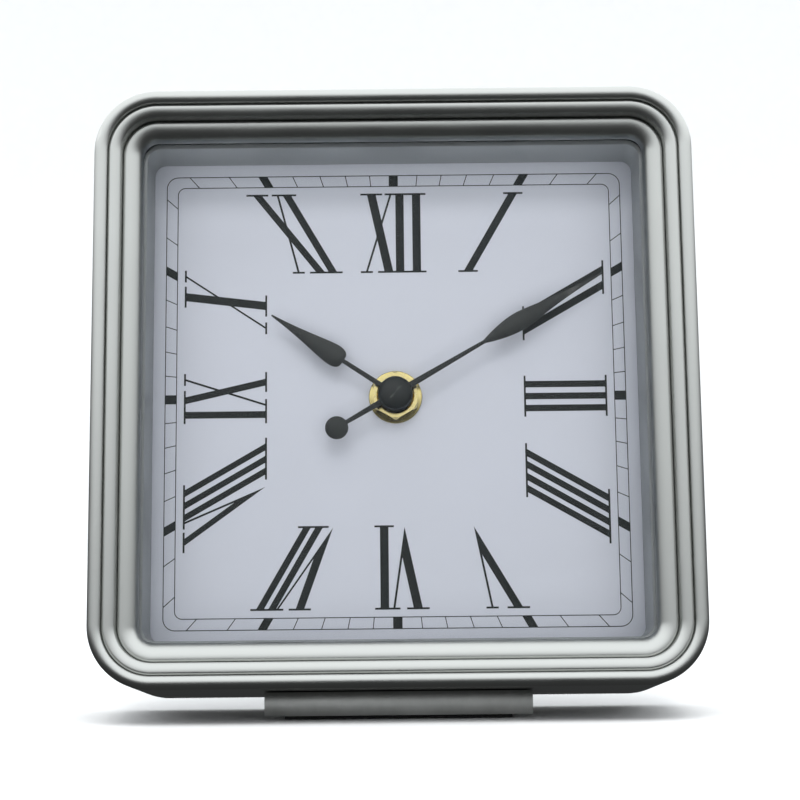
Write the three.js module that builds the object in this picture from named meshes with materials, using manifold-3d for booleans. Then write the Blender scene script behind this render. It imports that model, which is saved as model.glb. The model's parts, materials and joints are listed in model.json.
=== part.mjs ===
// Square silver table clock with a three-stepped frame, a deep-set dial and a quartz movement.
// Units are millimetres. World axes: +Z up, the dial faces -Y, and the origin is the centre of the
// foot pad's lower face. The clock leans back, so all but the foot pad is built in a tilted group,
// whose own axes are x across the dial, y up the dial and z out of the dial towards the viewer.

import * as THREE from "three";
import { mergeVertices } from "three/addons/utils/BufferGeometryUtils.js";
import Module from "manifold-3d";

const wasm = await Module();
wasm.setup();

// ---------------------------------------------------------------- driving dimensions

const LEAN_BACK = THREE.MathUtils.degToRad(7.5);
const GAP = 0.3;

// Case. Every outline in it is a rounded square whose corner arcs share one centre.
const CASE_HALF = 69.7;
const CORNER_CENTRE = 55.2;
const CASE_WALL = 1.3;
const CASE_REAR = -20;
const CORNER_STEPS = 7;

// Ribs of the frame, outermost first: half-size of the ring's centre line, height and radius.
const RIBS = [
  { half: 68.1, height: 21.2, radius: 1.6, steps: 8 },
  { half: 64.95, height: 20.1, radius: 1.55, steps: 6 },
];
const INNER_RIB = { half: 61.9, height: 16.9, radius: 1.5, steps: 3 };
// Hollow behind the ribs, from the lip outwards.
const RIB_HOLLOW = [[63.8, 15.5], [65.2, 18.6], [67.2, 18.9], [68.4, 17.8]];
const LIP_HALF = 58.8;
const LIP_FRONT = 15.3;
const LIP_BACK = 15.2;

const LENS = { half: 60.3, back: 12.8, thickness: 2.1 };
const SURROUND = { front: 12.5, back: GAP, frontHalf: 58.3, backHalf: 57.9, outerHalf: 59.6 };
const FLANGE = { half: 68.1, thickness: 1.8 };
const DIAL = { half: 65.8, thickness: 0.8, cornerCut: 12.6, hole: 4.3 };
const BACK_COVER = { half: 68.1, thickness: 1.8, rim: 60.4, rimWall: 1.5, window: 28.6 };
const SCREW_AT = 62.5;
const BOSS = { radius: 2.6, pilot: 1.5, pilotEnd: -8 };
const COVER_SCREW = { head: 2.7, height: 1.5, shank: 1.2, length: 9, hole: 1.6 };

// Foot: a wedge under the case that makes the clock lean back.
const FOOT = { width: 61, front: 11, back: -17, height: 5.7 };
const PAD = { width: 52, depth: 22, thickness: 0.8 };
const FOOT_SCREW = { x: 18, z: -3, hole: 1.6, recess: 3.1, roof: 1.4, head: 2.6, height: 1,
  shank: 1.2, length: 6.6 };
const FOOT_NUT = { radius: 2.8, hole: 1.5, height: 1.8, chamfer: 0.3 };

// Movement, a square box behind the dial.
const MOVEMENT = { half: 28, front: -2, plate: 1.4, rear: -19.6, wall: 1.2 };
const SHELF = { low: -11.2, high: -10.2 };
const BATTERY = { radius: 7.25, length: 50.5, nub: 1.3, nubRadius: 2.75, left: -25.6, y: -19, z: -12.05 };

// Wheel train: tooth counts, modules and where each arbor stands.
const TEETH = { cannon: 8, minute: 24, minutePinion: 8, hour: 32, knob: 16 };
const TRAIN = { rotor: 6, inter: 30, interPinion: 6, seconds: 36, secondsPinion: 6, third: 45,
  thirdPinion: 6, centre: 48 };
const MOTION_DISTANCE = 8;
const THIRD_DISTANCE = 8.5;
const ROTOR_MODULE = 0.36;
const KNOB_MODULE = 0.5;
const MINUTE_DIRECTION = 0;
const KNOB_DIRECTION = Math.PI / 3;
const THIRD_DIRECTION = (5 / 6) * Math.PI;
const INTER_DIRECTION = Math.PI / 2;
const ROTOR_DIRECTION = Math.PI / 2;

// Hands. Angles run clockwise from twelve o'clock.
const HOUR_ANGLE = THREE.MathUtils.degToRad(303.6);
const MINUTE_ANGLE = THREE.MathUtils.degToRad(59.9);
const HOUR_HAND = { z: 3.9, length: 35.2, hub: 4, hole: 2.7 };
const MINUTE_HAND = { z: 5, length: 57.3, hub: 3.6, hole: 1.62, tail: 16.1, tailRadius: 2.75 };
const HAND_THICKNESS = 0.4;
const CAP = { radius: 4, rim: 0.5, height: 1.4 };

// ---------------------------------------------------------------- materials

const PAINT = {
  silver: [0xb4b6b8, 0.36, 0.85],
  plasticSilver: [0x9ea2a4, 0.5, 0.4],
  lens: [0xf2f6f8, 0.05, 0],
  dial: [0xf1f2f4, 0.7, 0],
  blackPlastic: [0x1b1b1c, 0.55, 0],
  greyPlastic: [0x5a5c5e, 0.6, 0],
  whitePlastic: [0xe6e4dc, 0.55, 0],
  hands: [0x1c1d1c, 0.45, 0.2],
  brass: [0xc9a653, 0.28, 1],
  steel: [0xb9bbbd, 0.35, 1],
  rubber: [0x202020, 0.9, 0],
  copper: [0xb0552a, 0.35, 1],
  board: [0x2c6b3f, 0.6, 0],
  battery: [0x2f5f8f, 0.4, 0.3],
};

function paint(name) {
  const [color, roughness, metalness] = PAINT[name];
  return new THREE.MeshStandardMaterial({ color, roughness, metalness });
}

// ---------------------------------------------------------------- solids

function solid(geometry) {
  const bare = geometry.clone();
  bare.deleteAttribute("normal");
  bare.deleteAttribute("uv");
  const merged = mergeVertices(bare, 1e-4);
  const corners = merged.index.array;
  const kept = [];
  for (let i = 0; i < corners.length; i += 3) {
    const [a, b, c] = corners.slice(i, i + 3);
    if (a !== b && b !== c && c !== a) kept.push(a, b, c);
  }
  const triVerts = Uint32Array.from(kept);
  const vertProperties = Float32Array.from(merged.attributes.position.array);
  return new wasm.Manifold(new wasm.Mesh({ numProp: 3, vertProperties, triVerts }));
}

function geometryOf(body) {
  const { vertProperties, triVerts } = body.getMesh();
  const geometry = new THREE.BufferGeometry();
  geometry.setAttribute("position", new THREE.BufferAttribute(vertProperties, 3));
  geometry.setIndex(new THREE.BufferAttribute(triVerts, 1));
  return geometry;
}

function join(...geometries) {
  return geometryOf(geometries.map(solid).reduce((whole, piece) => whole.add(piece)));
}

function cut(geometry, ...tools) {
  return geometryOf(tools.map(solid).reduce((rest, tool) => rest.subtract(tool), solid(geometry)));
}

// Box from its lowest to its highest corner.
function box(low, high) {
  const [width, height, depth] = high.map((value, i) => value - low[i]);
  const centre = high.map((value, i) => (value + low[i]) / 2);
  return new THREE.BoxGeometry(width, height, depth).translate(...centre);
}

// Round bar along z.
function rod(radius, back, front, x = 0, y = 0, sides = 16) {
  return new THREE.CylinderGeometry(radius, radius, front - back, sides)
    .rotateX(Math.PI / 2)
    .translate(x, y, (front + back) / 2);
}

// Plate between two heights along z, cut from a flat shape. An arc gets twice the curve's steps.
function plate(shape, back, front, curveSegments = 3) {
  const options = { depth: front - back, bevelEnabled: false, curveSegments };
  return new THREE.ExtrudeGeometry(shape, options).translate(0, 0, back);
}

// Solid of revolution about z from (radius, z) points, rear first, that start and end on the axis.
function turned(points, sides = 24) {
  const profile = points.map(([radius, z]) => new THREE.Vector2(radius, z));
  return geometryOf(solid(new THREE.LatheGeometry(profile, sides).rotateX(Math.PI / 2)));
}

// Outline of a rounded square, with its corner arcs round the case's shared corner centres.
function roundedSquare(half, corner = half - CORNER_CENTRE) {
  const shape = new THREE.Shape();
  const straight = half - corner;
  for (let quarter = 0; quarter < 4; quarter += 1) {
    const x = straight * (quarter === 0 || quarter === 3 ? 1 : -1);
    const y = straight * (quarter < 2 ? 1 : -1);
    const start = (quarter * Math.PI) / 2;
    shape.absarc(x, y, corner, start, start + Math.PI / 2, false);
  }
  shape.closePath();
  return shape;
}

// Ring swept round the rounded square from a closed (half-size, z) profile, outer side rising.
function sweptRing(profile) {
  const rows = [];
  for (let quarter = 0; quarter < 4; quarter += 1) {
    const x = CORNER_CENTRE * (quarter === 0 || quarter === 3 ? 1 : -1);
    const y = CORNER_CENTRE * (quarter < 2 ? 1 : -1);
    for (let step = 0; step <= CORNER_STEPS; step += 1) {
      const angle = ((quarter + step / CORNER_STEPS) * Math.PI) / 2;
      rows.push(profile.map(([half, z]) => {
        const reach = half - CORNER_CENTRE;
        return [x + reach * Math.cos(angle), y + reach * Math.sin(angle), z];
      }));
    }
  }
  const width = profile.length;
  const corner = (row, column) => (row % rows.length) * width + (column % width);
  const index = [];
  for (let row = 0; row < rows.length; row += 1) {
    for (let column = 0; column < width; column += 1) {
      const [a, b] = [corner(row, column), corner(row + 1, column)];
      const [c, d] = [corner(row + 1, column + 1), corner(row, column + 1)];
      index.push(a, b, c, a, c, d);
    }
  }
  const geometry = new THREE.BufferGeometry();
  geometry.setAttribute("position", new THREE.Float32BufferAttribute(rows.flat(2), 3));
  geometry.setIndex(index);
  return geometryOf(solid(geometry));
}

// Points of an arc in a profile, from one angle to another in degrees.
function arc(half, height, radiusX, radiusZ, from, to, steps) {
  const points = [];
  for (let step = 0; step <= steps; step += 1) {
    const angle = THREE.MathUtils.degToRad(from + ((to - from) * step) / steps);
    points.push([half + radiusX * Math.cos(angle), height + radiusZ * Math.sin(angle)]);
  }
  return points;
}

// ---------------------------------------------------------------- assembly

const clock = new THREE.Group();
const tilted = new THREE.Group();
clock.add(tilted);

// The foot's lower face is level, a gap above the pad, and the pad is centred on the origin.
const footBase = -CASE_HALF - FOOT.height;
const footSlope = Math.tan(LEAN_BACK);
const footRise = (z) => footBase + (FOOT.front - z) * footSlope;
const level = (y, z) => y * Math.cos(LEAN_BACK) + z * Math.sin(LEAN_BACK);
const depth = (y, z) => y * Math.sin(LEAN_BACK) - z * Math.cos(LEAN_BACK);
const footFrontDepth = depth(footBase, FOOT.front);
const footBackDepth = depth(footRise(FOOT.back), FOOT.back);
tilted.rotation.x = Math.PI / 2 - LEAN_BACK;
tilted.position.y = -(footFrontDepth + footBackDepth) / 2;
tilted.position.z = PAD.thickness + GAP - level(footBase, FOOT.front);

function add(name, geometry, paintName, parent = tilted) {
  const mesh = new THREE.Mesh(geometry, paint(paintName));
  mesh.name = name;
  parent.add(mesh);
  return mesh;
}

// ---------------------------------------------------------------- case

function frontCaseProfile() {
  const points = [[CASE_HALF, CASE_REAR]];
  RIBS.forEach(({ half, height, radius, steps }) => {
    points.push(...arc(half, height, radius, radius, 0, 180, steps));
  });
  const { half, height, radius, steps } = INNER_RIB;
  points.push(...arc(half, height, radius, radius, 0, 90, steps));
  const drop = height + radius - LIP_FRONT;
  points.push(...arc(half, LIP_FRONT, half - LIP_HALF, drop, 90, 180, 6).slice(1));
  points.push([LIP_HALF, LIP_BACK], [half, LIP_BACK], ...RIB_HOLLOW);
  points.push([CASE_HALF - CASE_WALL, CASE_REAR]);
  return points;
}

const footScrewPlaces = [-FOOT_SCREW.x, FOOT_SCREW.x];
const footTop = -CASE_HALF - GAP;
const recessTop = footTop - FOOT_SCREW.roof;

function barUp(radius, low, high, x, z, sides = 16) {
  return new THREE.CylinderGeometry(radius, radius, high - low, sides)
    .translate(x, (low + high) / 2, z);
}

function frontCase() {
  const holes = footScrewPlaces.map((x) =>
    barUp(FOOT_SCREW.hole, -CASE_HALF - 1, -CASE_HALF + CASE_WALL + 1, x, FOOT_SCREW.z));
  return cut(sweptRing(frontCaseProfile()), ...holes);
}

const bossPlaces = [[-1, 1], [1, 1], [1, -1], [-1, -1]].map(([x, y]) => [x * SCREW_AT, y * SCREW_AT]);
const coverFront = CASE_REAR + BACK_COVER.thickness;

function dialSurround() {
  const { front, back, frontHalf, backHalf, outerHalf } = SURROUND;
  const ring = sweptRing([[FLANGE.half, back], [FLANGE.half, back + FLANGE.thickness],
    [outerHalf, back + FLANGE.thickness], [outerHalf, front], [frontHalf, front], [backHalf, back]]);
  const bosses = bossPlaces.map(([x, y]) =>
    rod(BOSS.radius, coverFront + GAP, back + FLANGE.thickness, x, y));
  const pilots = bossPlaces.map(([x, y]) => rod(BOSS.pilot, coverFront, BOSS.pilotEnd, x, y));
  return cut(join(ring, ...bosses), ...pilots);
}

function dialPlate() {
  const { half, cornerCut, hole, thickness } = DIAL;
  const shape = new THREE.Shape();
  const short = half - cornerCut;
  const corners = [[half, -short], [half, short], [short, half], [-short, half], [-half, short],
    [-half, -short], [-short, -half], [short, -half]];
  shape.setFromPoints(corners.map(([x, y]) => new THREE.Vector2(x, y)));
  shape.holes.push(new THREE.Path().absarc(0, 0, hole, 0, 2 * Math.PI, true));
  return plate(shape, -thickness, 0, 8);
}

function backCover() {
  const { half, rim, rimWall, window } = BACK_COVER;
  const shape = roundedSquare(half);
  shape.holes.push(roundedSquare(window, 3.5));
  const rimFront = -DIAL.thickness - GAP;
  const wall = roundedSquare(rim + rimWall);
  wall.holes.push(roundedSquare(rim));
  const whole = join(plate(shape, CASE_REAR, coverFront), plate(wall, coverFront - 0.5, rimFront));
  const holes = bossPlaces.map(([x, y]) =>
    rod(COVER_SCREW.hole, CASE_REAR - 1, coverFront + 1, x, y));
  return cut(whole, ...holes);
}

// Pan-head screw along z with its head to the rear and a cross recess.
function panScrew({ head, height, shank, length }) {
  const body = turned([[0, -height], [head * 0.7, -height], [head, -height * 0.4], [head, 0],
    [shank, 0], [shank, length - 1], [0, length]], 12);
  const arm = head * 0.6;
  const half = 0.25;
  const deep = -height * 0.45;
  const slots = [box([-arm, -half, -height - 1], [arm, half, deep]),
    box([-half, -arm, -height - 1], [half, arm, deep])];
  return cut(body, ...slots);
}

function foot() {
  const { width, front, back } = FOOT;
  const side = new THREE.Shape([[front, footTop], [back, footTop], [back, footRise(back)], [front, footBase]]
    .map(([z, y]) => new THREE.Vector2(-z, y)));
  const wedge = new THREE.ExtrudeGeometry(side, { depth: width, bevelEnabled: false })
    .translate(0, 0, -width / 2)
    .rotateY(Math.PI / 2);
  const holes = footScrewPlaces.flatMap((x) => [
    barUp(FOOT_SCREW.hole, footBase - 1, footTop + 1, x, FOOT_SCREW.z),
    barUp(FOOT_SCREW.recess, footBase - 1, recessTop, x, FOOT_SCREW.z)]);
  return cut(wedge, ...holes);
}

// Hexagonal or round nut with both ends of its bore open.
function nut(outerRadius, sides, holeRadius, back, front, chamfer) {
  const outside = turned([[0, back], [outerRadius, back], [outerRadius, front - chamfer],
    [outerRadius - chamfer, front], [0, front]], sides);
  return cut(outside, rod(holeRadius, back - 1, front + 1, 0, 0, 24));
}

function footNut() {
  const { radius, hole, height, chamfer } = FOOT_NUT;
  return nut(radius, 6, hole, 0, height, chamfer);
}

add("front_case", frontCase(), "silver");
add("lens", plate(roundedSquare(LENS.half), LENS.back, LENS.back + LENS.thickness), "lens");
add("dial_surround", dialSurround(), "plasticSilver");
add("dial_plate", dialPlate(), "dial");
add("back_cover", backCover(), "greyPlastic");
bossPlaces.forEach(([x, y], i) => {
  const screw = add(`back_cover_screw_${i + 1}`, panScrew(COVER_SCREW), "steel");
  screw.position.set(x, y, CASE_REAR - GAP);
});
add("foot", foot(), "silver");
add("foot_pad", box([-PAD.width / 2, -PAD.depth / 2, 0],
  [PAD.width / 2, PAD.depth / 2, PAD.thickness]), "rubber", clock);
footScrewPlaces.forEach((x, i) => {
  const screw = add(`foot_screw_${i + 1}`, panScrew(FOOT_SCREW), "steel");
  screw.rotation.x = -Math.PI / 2;
  screw.position.set(x, recessTop - GAP, FOOT_SCREW.z);
  const hexNut = add(`foot_nut_${i + 1}`, footNut(), "steel");
  hexNut.rotation.x = -Math.PI / 2;
  hexNut.position.set(x, -CASE_HALF + CASE_WALL + GAP, FOOT_SCREW.z);
});

// ---------------------------------------------------------------- hands

function discShape(radius, x = 0, y = 0) {
  return new THREE.Shape().absarc(x, y, radius, 0, 2 * Math.PI, false);
}

// Blade pointing along +y: a stem that narrows, swells into a bulb and tapers to the tip.
function bladeShape({ root, stem, start, swell, widest, halfWidth, taper, length }) {
  const base = 2;
  const tip = 0.2;
  const side = (sign) => [
    [sign * swell[0], swell[1], sign * halfWidth, swell[2], sign * halfWidth, widest],
    [sign * halfWidth, taper[0], sign * taper[1], taper[2], sign * tip, length]];
  const shape = new THREE.Shape();
  shape.moveTo(root, base);
  shape.lineTo(stem, start);
  side(1).forEach((curve) => shape.bezierCurveTo(...curve));
  shape.lineTo(-tip, length);
  const [lower, upper] = side(-1);
  shape.bezierCurveTo(upper[2], upper[3], upper[0], upper[1], -halfWidth, widest);
  shape.bezierCurveTo(lower[2], lower[3], lower[0], lower[1], -stem, start);
  shape.lineTo(-root, base);
  shape.closePath();
  return shape;
}

function hand({ z, hub, hole }, blades) {
  const pieces = [discShape(hub), ...blades].map((shape) => plate(shape, z, z + HAND_THICKNESS, 8));
  return cut(join(...pieces), rod(hole, z - 1, z + 1, 0, 0, 24));
}

function hourHand() {
  const blade = bladeShape({ root: 0.62, stem: 0.5, start: 14.8, swell: [2.1, 14.7, 15.9], widest: 17.5,
    halfWidth: 2.6, taper: [20, 0.9, 26.5], length: HOUR_HAND.length });
  return hand(HOUR_HAND, [blade]);
}

function minuteHand() {
  const { length, tail, tailRadius } = MINUTE_HAND;
  const blade = bladeShape({ root: 0.75, stem: 0.42, start: 24.6, swell: [1.3, 27, 31], widest: 34,
    halfWidth: 2.25, taper: [38, 0.7, 42], length });
  const stalk = new THREE.Shape([[0.5, -tail], [0.7, -2], [-0.7, -2], [-0.5, -tail]]
    .map(([x, y]) => new THREE.Vector2(x, y)));
  return hand(MINUTE_HAND, [blade, stalk, discShape(tailRadius, 0, -tail)]);
}

function handCap() {
  const { radius, rim, height } = CAP;
  const back = MINUTE_HAND.z + HAND_THICKNESS + GAP;
  const dome = arc(0, back + rim, radius, height - rim, 0, 90, 4);
  return turned([[0, back], [radius, back], ...dome]);
}

add("hour_hand", hourHand(), "hands").rotation.z = -HOUR_ANGLE;
add("minute_hand", minuteHand(), "hands").rotation.z = -MINUTE_ANGLE;
add("hand_cap", handCap(), "hands");

// Each ring: outer radius, sides, bore, rear, front and chamfer.
const BRASS_WASHER = [6.35, 32, 4.2, GAP, 0.8, 0.15];
const FIXING_NUT = [5.9, 6, 4.2, 1.1, 3.2, 0.5];
const RUBBER_WASHER = [11, 24, 4.4, MOVEMENT.front + GAP, -DIAL.thickness - GAP, 0.05];
add("brass_washer", nut(...BRASS_WASHER), "brass");
add("fixing_nut", nut(...FIXING_NUT), "brass");
add("rubber_washer", nut(...RUBBER_WASHER), "rubber");

// ---------------------------------------------------------------- movement case

const plateBack = MOVEMENT.front - MOVEMENT.plate;
const housingFront = plateBack - GAP;
const inner = MOVEMENT.half - MOVEMENT.wall;
const worksRear = MOVEMENT.rear + MOVEMENT.wall;
const bayFloor = housingFront - 0.9;

function polar(distance, direction, from = { x: 0, y: 0 }) {
  return { x: from.x + distance * Math.cos(direction), y: from.y + distance * Math.sin(direction) };
}

const minuteArbor = polar(MOTION_DISTANCE, MINUTE_DIRECTION);
const knobDistance = (KNOB_MODULE * (TEETH.knob + TEETH.minute)) / 2;
const knobArbor = polar(knobDistance, KNOB_DIRECTION, minuteArbor);
const thirdArbor = polar(THIRD_DISTANCE, THIRD_DIRECTION);
const rotorDistance = (ROTOR_MODULE * (TRAIN.rotor + TRAIN.inter)) / 2;
const interDistance = (ROTOR_MODULE * (TRAIN.interPinion + TRAIN.seconds)) / 2;
const interArbor = polar(interDistance, INTER_DIRECTION);
const rotorArbor = polar(rotorDistance, ROTOR_DIRECTION, interArbor);

function movementHousing() {
  const shell = plate(roundedSquare(MOVEMENT.half, 3), MOVEMENT.rear, housingFront);
  const works = box([-inner, SHELF.high, worksRear], [inner, inner, housingFront + 1]);
  const bay = box([-inner, -inner, MOVEMENT.rear - 1], [inner, SHELF.low, bayFloor]);
  const slots = [-1, 1].map((side) => box(
    [side > 0 ? inner - 1 : -inner, SHELF.low - 1, -12.6],
    [side > 0 ? inner : 1 - inner, SHELF.high + 1, -7.4]));
  const knobHole = rod(1.5, MOVEMENT.rear - 1, worksRear + 1, knobArbor.x, knobArbor.y);
  return cut(shell, works, bay, ...slots, knobHole);
}

function movementFrontPlate() {
  const face = plate(roundedSquare(MOVEMENT.half, 3), plateBack, MOVEMENT.front);
  const thirdPivot = rod(0.6, plateBack - 1, plateBack + 0.8, thirdArbor.x, thirdArbor.y);
  const minutePivot = rod(0.9, plateBack - 1, plateBack + 0.8, minuteArbor.x, minuteArbor.y);
  const pivots = [thirdPivot, minutePivot];
  return cut(face, rod(4.2, plateBack - 1, MOVEMENT.front + 1, 0, 0, 24), ...pivots);
}

const BUSH_FRONT = 3.5;

function threadedBush() {
  const flangeFront = plateBack - GAP;
  const body = turned([[0, flangeFront - 0.6], [5.2, flangeFront - 0.6], [5.2, flangeFront],
    [3.8, flangeFront], [3.8, BUSH_FRONT - 0.3], [3.5, BUSH_FRONT], [0, BUSH_FRONT]]);
  return cut(body, rod(2.9, flangeFront - 2, 6, 0, 0, 24));
}

// ---------------------------------------------------------------- wheels

// Toothed disc with one tooth centred on the phase angle.
function gearShape(teeth, module, phase, hole = 0) {
  const pitch = (2 * Math.PI) / teeth;
  const root = (module * teeth) / 2 - 1.25 * module;
  const tip = (module * teeth) / 2 + 0.8 * module;
  const points = [];
  for (let tooth = 0; tooth < teeth; tooth += 1) {
    const centre = phase + tooth * pitch;
    [[root, -0.24], [tip, -0.09], [tip, 0.09], [root, 0.24]].forEach(([radius, share]) => {
      const angle = centre + share * pitch;
      points.push(new THREE.Vector2(radius * Math.cos(angle), radius * Math.sin(angle)));
    });
  }
  const shape = new THREE.Shape(points);
  if (hole > 0) shape.holes.push(new THREE.Path().absarc(0, 0, hole, 0, 2 * Math.PI, true));
  return shape;
}

// Phase that puts the second gear in mesh with the first, which lies against the given direction.
function meshPhase(phase, teeth, direction, otherTeeth) {
  return direction + Math.PI - ((phase - direction) * teeth) / otherTeeth + Math.PI / otherTeeth;
}

const motionModule = (2 * MOTION_DISTANCE) / (TEETH.cannon + TEETH.minute);
const hourModule = (2 * MOTION_DISTANCE) / (TEETH.minutePinion + TEETH.hour);
const thirdModule = (2 * THIRD_DISTANCE) / (TRAIN.secondsPinion + TRAIN.third);
const centreModule = (2 * THIRD_DISTANCE) / (TRAIN.thirdPinion + TRAIN.centre);

// Heights of the layers, each from its rear to its front.
const LAYER = {
  hour: [-5.5, -4.7],
  minute: [-6.8, -6],
  centre: [-8.2, -7.5],
  third: [-9.6, -8.9],
  middlePlate: [-10.7, -10.1],
  seconds: [-11.8, -11.1],
  inter: [-13.1, -12.4],
  stator: [-15.4, -14],
  trainPlate: [-17.2, -16.4],
};
const PINION_MARGIN = 0.15;

function wheel(layer, ...shape) {
  return plate(gearShape(...shape), ...LAYER[layer], 8);
}

// Pinion that is a little longer than the layer it meshes in and runs on to its own wheel.
function pinion(from, to, ...shape) {
  return plate(gearShape(...shape), from - PINION_MARGIN, to + PINION_MARGIN);
}

const minutePhase = meshPhase(0, TEETH.cannon, MINUTE_DIRECTION, TEETH.minute);
const hourPhase = meshPhase(0, TEETH.minutePinion, MINUTE_DIRECTION + Math.PI, TEETH.hour);
const knobPhase = meshPhase(minutePhase, TEETH.minute, KNOB_DIRECTION, TEETH.knob);
const thirdPhase = meshPhase(0, TRAIN.secondsPinion, THIRD_DIRECTION, TRAIN.third);
const centrePhase = meshPhase(0, TRAIN.thirdPinion, THIRD_DIRECTION + Math.PI, TRAIN.centre);
const secondsPhase = meshPhase(0, TRAIN.interPinion, INTER_DIRECTION + Math.PI, TRAIN.seconds);
const rotorPhase = meshPhase(0, TRAIN.inter, ROTOR_DIRECTION, TRAIN.rotor);

function minutePipe() {
  const [rear, front] = LAYER.minute;
  const leaves = pinion(rear, front, TEETH.cannon, motionModule, 0);
  const pipeFront = MINUTE_HAND.z + HAND_THICKNESS + 0.1;
  const pipe = rod(1.5, LAYER.centre[0] - 0.2, pipeFront, 0, 0, 20);
  return cut(join(leaves, pipe), rod(0.7, -12, 12, 0, 0, 12));
}

function hourWheel() {
  const gear = wheel("hour", TEETH.hour, hourModule, hourPhase);
  const pipe = rod(2.6, LAYER.hour[0], HOUR_HAND.z + HAND_THICKNESS + 0.2, 0, 0, 24);
  return cut(join(gear, pipe), rod(1.75, -12, 12, 0, 0, 24));
}

function minuteWheel() {
  const gear = wheel("minute", TEETH.minute, motionModule, minutePhase);
  const leaves = pinion(LAYER.minute[1] - 0.5, LAYER.hour[1], TEETH.minutePinion, hourModule, 0);
  const arbor = rod(0.7, LAYER.minute[0], plateBack + 0.5, 0, 0, 12);
  return join(gear, leaves, arbor);
}

function centreWheel() {
  return wheel("centre", TRAIN.centre, centreModule, centrePhase, 1.7);
}

function thirdWheel() {
  const gear = wheel("third", TRAIN.third, thirdModule, thirdPhase);
  const leaves = pinion(LAYER.third[1] - 0.3, LAYER.centre[1], TRAIN.thirdPinion, centreModule, 0);
  const arbor = rod(0.4, LAYER.trainPlate[0] + 0.1, plateBack + 0.5, 0, 0, 10);
  return join(gear, leaves, arbor);
}

function secondsWheel() {
  const gear = wheel("seconds", TRAIN.seconds, ROTOR_MODULE, secondsPhase);
  const leaves = pinion(...LAYER.third, TRAIN.secondsPinion, thirdModule, 0);
  const hub = rod(0.6, LAYER.seconds[0], LAYER.third[0], 0, 0, 10);
  const arbor = rod(0.4, LAYER.trainPlate[0] + 0.1, MINUTE_HAND.z, 0, 0, 10);
  return join(gear, leaves, hub, arbor);
}

function intermediateWheel() {
  const gear = wheel("inter", TRAIN.inter, ROTOR_MODULE, 0);
  const leaves = pinion(LAYER.inter[1] - 0.2, LAYER.seconds[1], TRAIN.interPinion, ROTOR_MODULE, 0);
  const arbor = rod(0.4, LAYER.trainPlate[0] + 0.1, LAYER.middlePlate[1] - 0.1, 0, 0, 10);
  return join(gear, leaves, arbor);
}

function rotor() {
  const leaves = pinion(...LAYER.inter, TRAIN.rotor, ROTOR_MODULE, rotorPhase);
  const magnet = rod(2.4, LAYER.stator[0] - 0.2, LAYER.stator[1] + 0.2, 0, 0, 20);
  const arbor = rod(0.4, LAYER.trainPlate[0] + 0.1, LAYER.middlePlate[1] - 0.1, 0, 0, 10);
  return join(leaves, magnet, arbor);
}

const KNOB = { radius: 7, root: 6.6, flutes: 20, height: 2.6, stem: 1 };

// Knurled knob behind the housing, with its stem and gear inside.
function settingKnob() {
  const { radius, root, flutes, height, stem } = KNOB;
  const gear = wheel("minute", TEETH.knob, KNOB_MODULE, knobPhase);
  const knobFront = MOVEMENT.rear - GAP;
  const points = [];
  for (let flute = 0; flute < flutes; flute += 1) {
    [[root, 0], [radius, 0.25], [radius, 0.75]].forEach(([reach, share]) => {
      const angle = ((flute + share) * 2 * Math.PI) / flutes;
      points.push(new THREE.Vector2(reach * Math.cos(angle), reach * Math.sin(angle)));
    });
  }
  const rim = plate(new THREE.Shape(points), knobFront - height, knobFront);
  return join(gear, rod(stem, knobFront - 0.5, LAYER.minute[1]), rim);
}

// ---------------------------------------------------------------- plates, motor and electrics

const PLATE = { left: -12, right: 10.2, low: -9, high: 17.2 };
const PILLARS = { radius: 1, places: [[-10.5, 15.5], [8.6, 15.5], [-4.5, -7.6]] };
const PIVOT_RADIUS = 0.5;
const PASSAGE_RADIUS = 0.8;
const centreArbor = { x: 0, y: 0 };
const pivotHoles = (radius, arbors) => arbors.map(({ x, y }) => rod(radius, -19, -9, x, y));

function plateSheet([rear, front]) {
  return box([PLATE.left, PLATE.low, rear], [PLATE.right, PLATE.high, front]);
}

function middlePlate() {
  const passages = pivotHoles(PASSAGE_RADIUS, [centreArbor, thirdArbor]);
  const pivots = pivotHoles(PIVOT_RADIUS, [interArbor, rotorArbor]);
  return cut(plateSheet(LAYER.middlePlate), ...passages, ...pivots);
}

function trainPlate() {
  const legEnd = LAYER.trainPlate[0] + 0.3;
  const legs = PILLARS.places.map(([x, y]) => rod(PILLARS.radius, worksRear + GAP, legEnd, x, y));
  const holes = pivotHoles(PIVOT_RADIUS, [centreArbor, thirdArbor, interArbor, rotorArbor]);
  return cut(join(plateSheet(LAYER.trainPlate), ...legs), ...holes);
}

const STATOR = { half: 12.5, low: 10.8, high: 17.4, legWidth: 3.1, legTop: 24, hole: 2.9 };

function stator() {
  const { half, low, high, legWidth, legTop, hole } = STATOR;
  const [rear, front] = LAYER.stator;
  const strip = box([-half, low, rear], [half, high, front]);
  const legs = [-half, half - legWidth].map((left) =>
    box([left, high - 0.4, rear], [left + legWidth, legTop, front]));
  return cut(join(strip, ...legs), rod(hole, rear - 1, front + 1, rotorArbor.x, rotorArbor.y, 24));
}

const COIL = { y: 22, z: -13, half: 8.6, flange: 0.6, flangeRadius: 3.6, tube: 1.6 };
const CORE = { half: 12.4, halfHeight: 0.8, halfDepth: 0.6 };
const across = (geometry) => geometry.rotateY(Math.PI / 2).translate(0, COIL.y, COIL.z);

function coreBar(half, clearance = 0) {
  const halfHeight = CORE.halfHeight + clearance;
  const halfDepth = CORE.halfDepth + clearance;
  return box([-half, COIL.y - halfHeight, COIL.z - halfDepth],
    [half, COIL.y + halfHeight, COIL.z + halfDepth]);
}

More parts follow.
